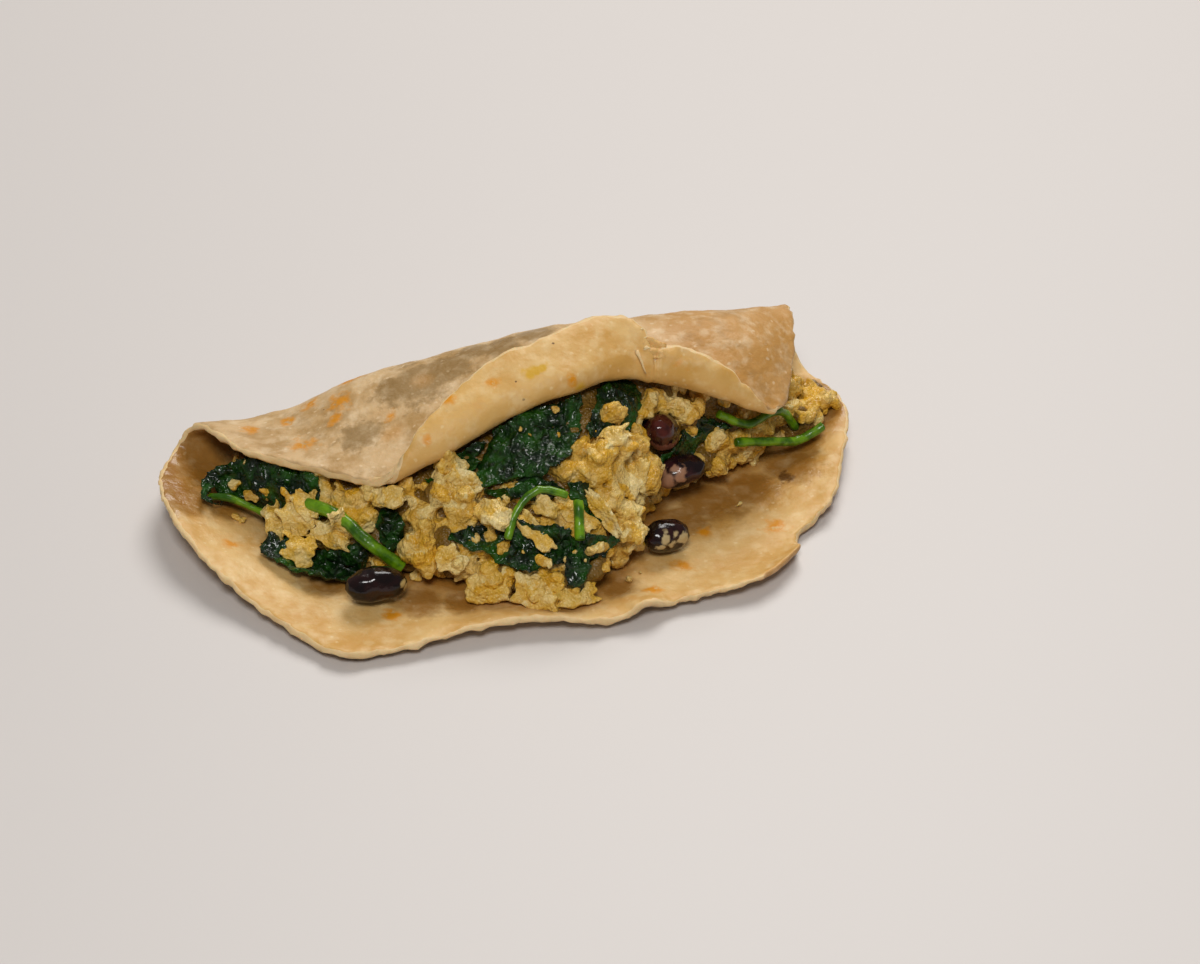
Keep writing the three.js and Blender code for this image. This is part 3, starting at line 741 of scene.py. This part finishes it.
def eggMaterial(name, low, high, yellow, pale, hollowShade):
    material, nodes = startMaterial(name)
    at = objectVector(nodes)
    colour = mixColour(nodes, band(nodes, noiseOf(nodes, at, 2.6, 4), 0.35, 0.65), low, high)
    moved = shaken(nodes, at, 500.0, 1.4)
    chunk = put(nodes, "TexVoronoi", {"Vector": moved, "Scale": 270.0, "Smoothness": 0.6},
                feature="SMOOTH_F1").outputs["Color"]
    chance = put(nodes, "SeparateColor", {0: chunk}).outputs
    clouds = band(nodes, noiseOf(nodes, at, 5, 3, 0.6, 0.5), 0.54, 0.66, 0.0, 0.7)
    golden = math2(nodes, "MAXIMUM", clouds, band(nodes, chance[0], 0.62, 0.78, 0.0, 0.5))
    colour = mixColour(nodes, golden, colour, yellow)
    colour = mixColour(nodes, band(nodes, chance[1], 0.6, 0.76, 0.0, 0.6), colour, pale)
    bright = spotsAt(nodes, at, eggSet["brights"], 2)
    colour = mixColour(nodes, math2(nodes, "MULTIPLY", bright, 0.7), colour, yellow)
    milky = band(nodes, noiseOf(nodes, at, 3.4, 3, 0.6, 0.2), 0.62, 0.72)
    milky = math2(nodes, "MAXIMUM", milky, spotsAt(nodes, at, eggSet["whites"], 0.5))
    colour = mixColour(nodes, math2(nodes, "MULTIPLY", milky, 0.75), colour, pale)
    # Painted shade: points lying in hollows are darkened toward the hollow shade colour.
    hollow = attribute(nodes, "hollow")
    colour = mixColour(nodes, band(nodes, hollow, 0.06, 0.75, 0.0, 0.94), colour, hollowShade)
    pebble = put(nodes, "TexVoronoi", {"Vector": at, "Scale": 1250.0, "Smoothness": 0.35},
                 feature="SMOOTH_F1").outputs["Distance"]
    grain = useGroup(nodes, grainGroup, {"Vector": at, "Scale": 1500.0, "Coarse": 1.8})["Height"]
    raised = math2(nodes, "SUBTRACT", grain, math2(nodes, "MULTIPLY", pebble, 1.3))
    finishMaterial(nodes, colour, 0.28, bump(nodes, raised, 0.32), Subsurface_Weight=0.12,
                   Subsurface_Radius=(1, 0.8, 0.4), Subsurface_Scale=0.001, Specular_IOR_Level=0.4)
    return material


# How far each point lies below the smoothed form around it, from 0 to 1; the egg materials paint shade
# into these hollows.
def markHollows(piece, reach, depth):
    smooth = piece.copy()
    smooth.data = piece.data.copy()
    collection.objects.link(smooth)
    modify(smooth, "SMOOTH", factor=0.5, iterations=reach)
    values = []
    for here, there in zip(piece.data.vertices, smooth.data.vertices):
        below = (there.co - here.co).dot(here.normal) / mm / depth
        values.append(min(1, max(0, below)))
    bpy.data.objects.remove(smooth)
    setAttribute(piece, "hollow", values)


core, crust = makeEgg()
modify(core, "REMESH", mode="VOXEL", voxel_size=eggSet["coreGrain"] * mm)
modify(core, "SMOOTH", factor=0.5, iterations=4)
push(core, texture("VORONOI", eggSet["coreLump"]), -eggSet["coreRelief"])
markHollows(crust, 60, 1.3)
markHollows(core, 6, 0.7)
curdLook = eggMaterial("egg_curd", tone(198, 152, 60), tone(228, 190, 98), tone(226, 170, 26),
                       tone(238, 220, 156), tone(80, 54, 10))
# Painted shade: the core is coloured as egg in shadow, darker than the curds, for the shaded gaps between
# them.
shadedCoreLook = eggMaterial("egg_core_shade", tone(104, 76, 26), tone(134, 100, 42), tone(118, 86, 16),
                       tone(134, 108, 54), tone(24, 17, 5))
flakeLook = eggMaterial("egg_flake", tone(214, 176, 88), tone(236, 206, 130), tone(228, 176, 40),
                        tone(244, 228, 172), tone(150, 112, 40))
flakes = makeFlakes()
markHollows(flakes, 8, 0.8)
finishPiece(flakes, flakeLook, "egg")
finishPiece(core, shadedCoreLook, "egg")
finishPiece(crust, curdLook, "egg", "scrambled_egg")
print("stage: egg ready")


# Torn edge of the flap: short fibres of dough, one hanging strand, and a thin film beside them.

tearSet = dict(
    seed=4,
    sides=7,
    steps=8,
    strandRadius=0.45,
    filmThickness=0.6,
    edge=[(27.2, 10.8, 45.6), (27.8, 9.1, 44.5), (28.3, 7.4, 43.4), (28.4, 6, 42.4), (28, 5, 41.6)],
    count=7,
    length=(0.5, 1.5),
    radius=(0.35, 0.6),
    strand=[(25.6, 4.2, 42), (26.2, 2.8, 41), (26.5, 1.4, 39.6), (27.2, 0.8, 37.8)],
    film=[(27.8, 8.4, 43.6), (33.2, 6.6, 41.4), (27.4, 4, 39.8), (32.4, 3.6, 39.4)],
)


def rodShape():
    bpy.ops.mesh.primitive_circle_add(vertices=tearSet["sides"], radius=1, fill_type="NGON",
                                      location=(0, 0, 0))
    rod = bpy.context.object
    pick(rod, "EDIT")
    bpy.ops.mesh.select_all(action="SELECT")
    for _ in range(tearSet["steps"]):
        bpy.ops.mesh.extrude_region_move(TRANSFORM_OT_translate={"value": (0, 0, 1 / tearSet["steps"])})
    bpy.ops.mesh.select_all(action="SELECT")
    bpy.ops.mesh.normals_make_consistent(inside=False)
    bpy.ops.object.mode_set(mode="OBJECT")
    return rod


def alongPath(path, share):
    place = share * (len(path) - 1)
    step = min(int(place), len(path) - 2)
    return Vector(path[step]).lerp(Vector(path[step + 1]), place - step)


def rodCopy(shape, path, radius, number):
    rod = duplicate(shape, Matrix.Identity(4))
    for vertex in rod.data.vertices:
        x, y, z = vertex.co
        wide = radius * (1 - 0.75 * z) * (1 + 0.5 * noise.noise(Vector((x, y + number, z * 4))))
        vertex.co = (alongPath(path, z) + Vector((x * wide, y * wide * 0.8, x * wide * 0.4))) * mm
    return rod


def makeTear(look):
    random.seed(tearSet["seed"])
    shape = rodShape()
    pieces = []
    for number in range(tearSet["count"]):
        start = alongPath(tearSet["edge"], random.random()) - Vector((0.5, 0, 0.4))
        length = random.uniform(*tearSet["length"])
        way = Vector((1, random.uniform(-1.6, 0.3), random.uniform(-1.4, 0.2))).normalized() * length
        droop = Vector((0, random.uniform(-0.3, 0.3), -0.3 * length))
        onward = Vector((0.5, 0, 0))
        path = [start, start + way + onward, start + way * 1.5 + droop + onward]
        pieces.append(rodCopy(shape, path, random.uniform(*tearSet["radius"]), number))
    pieces.append(rodCopy(shape, tearSet["strand"], tearSet["strandRadius"], 50))
    bpy.data.objects.remove(shape)
    bpy.ops.mesh.primitive_grid_add(x_subdivisions=14, y_subdivisions=14, size=1, location=(0, 0, 0))
    film = bpy.context.object
    upLeft, upRight, lowLeft, lowRight = [Vector(corner) for corner in tearSet["film"]]
    for vertex in film.data.vertices:
        x, y = vertex.co.x + 0.5, vertex.co.y + 0.5
        ragged = Vector((0, -0.5, 0.6)) * noise.noise(Vector((x * 4, y * 4, 1)))
        vertex.co = (lowLeft.lerp(lowRight, x).lerp(upLeft.lerp(upRight, x), y) + ragged) * mm
    modify(film, "SOLIDIFY", thickness=tearSet["filmThickness"] * mm, offset=0)
    film.name = "torn_film"
    finishPiece(film, filmMaterial(), "tortilla")
    finishPiece(joined(pieces, "torn_fibres"), look, "tortilla")


def filmMaterial():
    material, nodes = startMaterial("thin_dough")
    at = objectVector(nodes)
    colour = mixColour(nodes, noiseOf(nodes, at, 1.5), tone(214, 160, 84), tone(226, 186, 118))
    finishMaterial(nodes, colour, 0.45, bump(nodes, noiseOf(nodes, at, 0.8), 0.3), Subsurface_Weight=0.1,
                   Subsurface_Scale=0.0015, Specular_IOR_Level=0.4)
    return material


makeTear(tortillaRim())
print("stage: torn edge ready")


# Spinach leaves and stems.

leafSet = dict(
    grainSize=0.34,
    folds=[("Z", 9, 3), ("Y", 8, -2.4), ("Z", 4, 3), ("Y", 3.6, -2.8), ("X", 3.4, 2), ("Z", 1.8, 1.4),
           ("X", 1.6, 1.3)],
    crease=0.9,
    creaseSize=3.2,
    thinner=0.22,
)
stemSet = dict(
    grainSize=0.3,
    swell=0.5,
    swellSize=3,
)


def leafMaterial():
    material, nodes = startMaterial("wilted_spinach")
    at = objectVector(nodes)
    clouds = band(nodes, noiseOf(nodes, at, 5, 3), 0.4, 0.7)
    colour = mixColour(nodes, clouds, tone(6, 26, 4), tone(32, 80, 12))
    pale = band(nodes, noiseOf(nodes, at, 2.4, 4, 0.65), 0.62, 0.78)
    colour = mixColour(nodes, math2(nodes, "MULTIPLY", pale, 0.22), colour, tone(96, 112, 34))
    vein = put(nodes, "TexVoronoi", {"Vector": at, "Scale": 300.0},
               feature="DISTANCE_TO_EDGE").outputs[0]
    colour = mixColour(nodes, band(nodes, vein, 0.06, 0.0, 0.0, 0.25), colour, tone(40, 88, 24))
    ridge = math2(nodes, "ADD", math2(nodes, "MULTIPLY", band(nodes, vein, 0.0, 0.2), 0.5),
                  math2(nodes, "MULTIPLY", noiseOf(nodes, at, 2.8, 2, 0.5, 0.6), 6))
    grain = useGroup(nodes, grainGroup, {"Vector": at, "Scale": 700.0, "Coarse": 1.5})["Height"]
    raised = math2(nodes, "ADD", ridge, math2(nodes, "MULTIPLY", grain, 0.25))
    finishMaterial(nodes, colour, 0.4, bump(nodes, raised, 0.3), Specular_IOR_Level=0.2,
                   Coat_Weight=0.45, Coat_Roughness=0.06)
    return material


def stemMaterial():
    material, nodes = startMaterial("spinach_stem")
    at = objectVector(nodes)
    clouds = band(nodes, noiseOf(nodes, at, 4, 3), 0.35, 0.65)
    colour = mixColour(nodes, clouds, tone(46, 88, 2), tone(108, 152, 16))
    grain = useGroup(nodes, grainGroup, {"Vector": at, "Scale": 900.0, "Coarse": 1.0})["Height"]
    finishMaterial(nodes, colour, 0.3, bump(nodes, grain, 0.12), Specular_IOR_Level=0.35,
                   Coat_Weight=0.25, Coat_Roughness=0.12)
    return material


def makeLeaf(nodeName, look):
    piece = copyOfNode(nodeName, nodeName.replace("spinach", "wilted"))
    modify(piece, "REMESH", mode="VOXEL", voxel_size=leafSet["grainSize"] * mm)
    modify(piece, "SMOOTH", factor=0.5, iterations=4)
    for direction, size, strength in leafSet["folds"]:
        push(piece, texture("CLOUDS", size), strength, direction)
    creases = texture("CLOUDS", leafSet["creaseSize"], noise_type="HARD_NOISE")
    push(piece, creases, leafSet["crease"], "NORMAL", 0.3)
    push(piece, None, -leafSet["thinner"], "NORMAL", 0)
    finishPiece(piece, look, "spinach_leaf", nodeName)


def makeStem(nodeName, look):
    piece = copyOfNode(nodeName, nodeName.replace("spinach", "green"))
    modify(piece, "REMESH", mode="VOXEL", voxel_size=stemSet["grainSize"] * mm)
    modify(piece, "SMOOTH", factor=0.5, iterations=6)
    push(piece, texture("CLOUDS", stemSet["swellSize"]), stemSet["swell"])
    finishPiece(piece, look, "spinach_stem", nodeName)


wilted = leafMaterial()
green = stemMaterial()
for nodeName in sorted(frame["nodes"]):
    if nodeName.startswith("spinach_leaf"):
        makeLeaf(nodeName, wilted)
    if nodeName.startswith("spinach_stem"):
        makeStem(nodeName, green)
print("stage: spinach ready")


# Black beans.

beanSet = dict(
    grainSize=0.45,
    smoothing=22,
    swell=0.9,
    swellSize=4,
    # Darkest and lightest skin, and a paler patch at places given as x, y, z and radius.
    looks=dict(
        black_bean_1=dict(
            low=tone(18, 7, 6),
            high=tone(40, 16, 14),
            patch=tone(206, 176, 110),
            places=[(-34.4, -29.4, 8.4, 1.3), (-34, -28.4, 6.8, 1.2)],
        ),
        black_bean_2=dict(
            low=tone(18, 7, 8),
            high=tone(46, 20, 20),
            patch=tone(206, 184, 134),
            places=[(27, -25, 8.6, 1.5), (29, -25.4, 7.2, 1.3), (30, -24.5, 9.2, 1.3),
                    (26, -25.2, 6.4, 1.2), (32, -23.6, 7.6, 1.5)],
        ),
        black_bean_3=dict(
            low=tone(40, 14, 12),
            high=tone(84, 34, 26),
            patch=tone(136, 84, 66),
            places=[(29.5, -5, 18.6, 3.4), (32, -5, 18.2, 3)],
        ),
        black_bean_4=dict(
            low=tone(26, 12, 14),
            high=tone(60, 30, 32),
            patch=tone(176, 128, 96),
            places=[(30.2, -8, 12.5, 4), (33.4, -8.5, 13.8, 2.6)],
        ),
    ),
)


def beanMaterial(nodeName):
    look = beanSet["looks"][nodeName]
    material, nodes = startMaterial(nodeName + "_skin")
    at = objectVector(nodes)
    clouds = band(nodes, noiseOf(nodes, at, 4, 3), 0.4, 0.7)
    colour = mixColour(nodes, clouds, look["low"], look["high"])
    patch = spotsAt(nodes, at, look["places"], 0.25)
    colour = mixColour(nodes, math2(nodes, "MULTIPLY", patch, 0.85), colour, look["patch"])
    rough = band(nodes, patch, 0, 1, 0.16, 0.5)
    grain = useGroup(nodes, grainGroup, {"Vector": at, "Scale": 600.0, "Coarse": 1.5})["Height"]
    finishMaterial(nodes, colour, rough, bump(nodes, grain, 0.1), Specular_IOR_Level=0.3,
                   Coat_Weight=0.2, Coat_Roughness=0.05)
    return material


def makeBean(nodeName):
    piece = copyOfNode(nodeName, nodeName.replace("black_bean", "bean"))
    modify(piece, "REMESH", mode="VOXEL", voxel_size=beanSet["grainSize"] * mm)
    modify(piece, "SMOOTH", factor=0.5, iterations=beanSet["smoothing"])
    push(piece, texture("CLOUDS", beanSet["swellSize"]), beanSet["swell"])
    finishPiece(piece, beanMaterial(nodeName), "black_bean", nodeName)


for nodeName in sorted(frame["nodes"]):
    if nodeName.startswith("black_bean"):
        makeBean(nodeName)
print("stage: beans ready")


# Floor, light and camera.

stageSet = dict(
    target=(20.43, 12.01, 0),
    azimuth=-15,
    elevation=35.68,
    distance=800,
    roll=2.576,
    lens=100.6,
    sensor=36,
    floor=tone(212, 206, 202),
    floorSize=6,
    # Name, place in metres, size, power and colour.
    lights=[
        ("back light", (0.35, 0.7, 0.95), 0.7, 10, (1, 0.98, 0.95)),
        ("front fill", (-0.25, -0.8, 1.15), 0.4, 9, (1, 0.99, 0.97)),
    ],
    aim=(0, 0, 10),
    room=(1, 0.99, 1, 1),
    roomStrength=0.17,
)


def makeStage():
    bpy.ops.mesh.primitive_plane_add(size=stageSet["floorSize"], location=(0, 0, -0.0004))
    floor = bpy.context.object
    floor.name = "floor"
    material, nodes = startMaterial("pale_floor")
    at = objectVector(nodes)
    grain = useGroup(nodes, grainGroup, {"Vector": at, "Scale": 200.0, "Coarse": 1.0})["Height"]
    finishMaterial(nodes, stageSet["floor"], 0.5, bump(nodes, grain, 0.02))
    floor.data.materials.append(material)
    for name, place, size, power, colour in stageSet["lights"]:
        lamp = bpy.data.lights.new(name, "AREA")
        lamp.shape = "DISK"
        lamp.size = size
        lamp.energy = power
        lamp.color = colour
        holder = bpy.data.objects.new(name, lamp)
        holder.location = place
        toward = Vector(stageSet["aim"]) * mm - Vector(place)
        holder.rotation_euler = toward.to_track_quat("-Z", "Y").to_euler()
        collection.objects.link(holder)
    world = bpy.data.worlds.new("soft room")
    world.use_nodes = True
    background = world.node_tree.nodes["Background"]
    background.inputs[0].default_value = stageSet["room"]
    background.inputs[1].default_value = stageSet["roomStrength"]
    bpy.context.scene.world = world
    bpy.context.scene.view_settings.view_transform = "Standard"


def makeCamera():
    turn = math.radians(stageSet["azimuth"])
    rise = math.radians(stageSet["elevation"])
    flat = math.cos(rise)
    back = Vector((math.sin(turn) * flat, -math.cos(turn) * flat, math.sin(rise)))
    lens = bpy.data.cameras.new("camera")
    lens.lens = stageSet["lens"]
    lens.sensor_width = stageSet["sensor"]
    camera = bpy.data.objects.new("camera", lens)
    camera.location = Vector(stageSet["target"]) * mm + back * stageSet["distance"] * mm
    camera.rotation_mode = "QUATERNION"
    roll = Quaternion((0, 0, 1), math.radians(stageSet["roll"]))
    camera.rotation_quaternion = (-back).to_track_quat("-Z", "Y") @ roll
    collection.objects.link(camera)
    bpy.context.scene.camera = camera


makeStage()
makeCamera()
print("stage: floor, light and camera ready")
